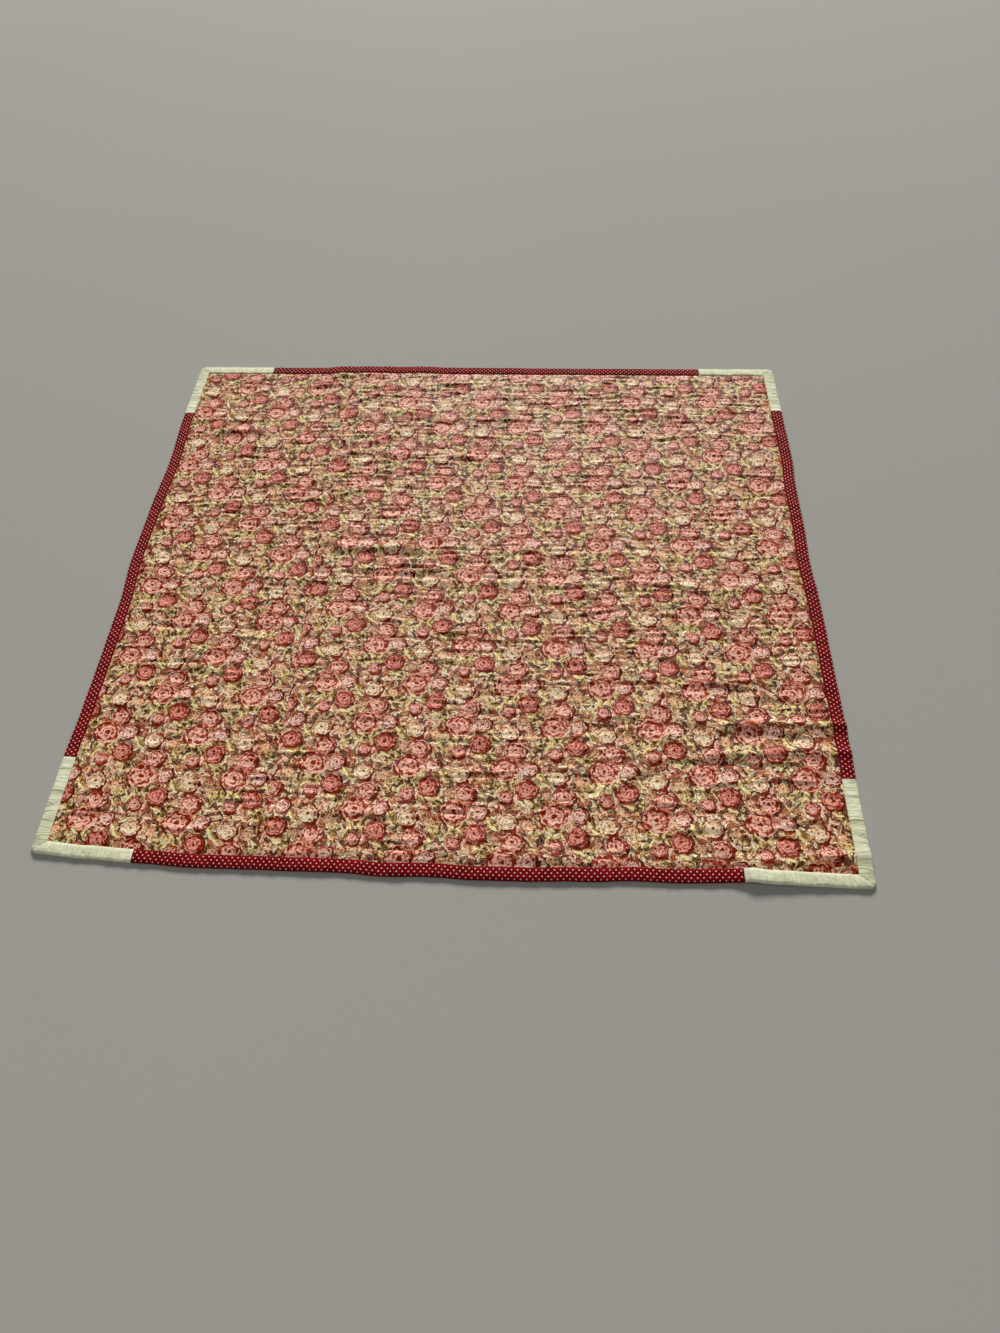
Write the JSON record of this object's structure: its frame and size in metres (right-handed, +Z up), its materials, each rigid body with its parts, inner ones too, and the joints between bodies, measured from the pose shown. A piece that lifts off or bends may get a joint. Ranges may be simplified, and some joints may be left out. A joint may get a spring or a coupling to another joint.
{
  "type": "quilt",
  "caption": "Thin pieced quilt of rose-print cotton in seamed widths, edged with a folded binding of red pin-dot strips and cream corner pieces, laid out flat on the floor.",
  "frame": {"origin": "the middle of the laid quilt's outline, on the surface that it lies on", "axes": "+Z up out of the surface, +Y from the front edge to the back edge, +X to the right seen from the front"},
  "size_m": [1.4406, 1.3948, 0.0126],
  "materials": {
    "rose_print": "printed plain-weave cotton, quilted, soft sheen",
    "red_dot": "dark red plain-weave cotton with small pale dots",
    "cream_cloth": "pale cream plain-weave cotton"
  },
  "bodies": {
    "root": {"panel_left": "rose_print", "panel_right": "rose_print", "binding_front": "red_dot", "binding_back": "red_dot", "binding_left": "red_dot", "binding_right": "red_dot", "corner_front_left": "cream_cloth", "corner_front_right": "cream_cloth", "corner_back_left": "cream_cloth", "corner_back_right": "cream_cloth"}
  },
  "joints": []
}
